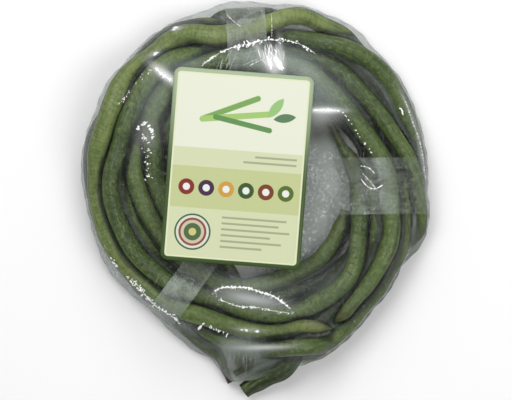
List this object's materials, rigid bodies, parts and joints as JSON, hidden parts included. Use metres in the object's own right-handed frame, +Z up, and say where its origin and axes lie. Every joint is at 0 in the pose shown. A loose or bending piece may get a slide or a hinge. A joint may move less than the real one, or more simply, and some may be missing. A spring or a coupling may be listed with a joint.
{
  "type": "yardlong bean bunch",
  "caption": "Long slender green bean pods coiled into a flat ring, bound with clear tape, wrapped in clear film and labelled on top.",
  "frame": {"origin": "on the surface that the bunch lies on, under the middle of the coil", "axes": "+Z up out of the label, +Y up the label's long side, the tail of pod ends towards -Y"},
  "size_m": [0.188, 0.2126, 0.0362],
  "materials": {
    "pod": "satin",
    "tape": "satin",
    "film": "gloss",
    "label": "gloss"
  },
  "bodies": {
    "root": {"bean_01": "pod", "bean_02": "pod", "bean_03": "pod", "bean_04": "pod", "bean_05": "pod", "bean_06": "pod", "bean_07": "pod", "bean_08": "pod", "bean_09": "pod", "bean_10": "pod", "bean_11": "pod", "bean_12": "pod", "bean_13": "pod", "tape_top": "tape", "tape_right": "tape", "tape_lower_left": "tape", "wrap": "film", "label": "label"}
  },
  "joints": []
}
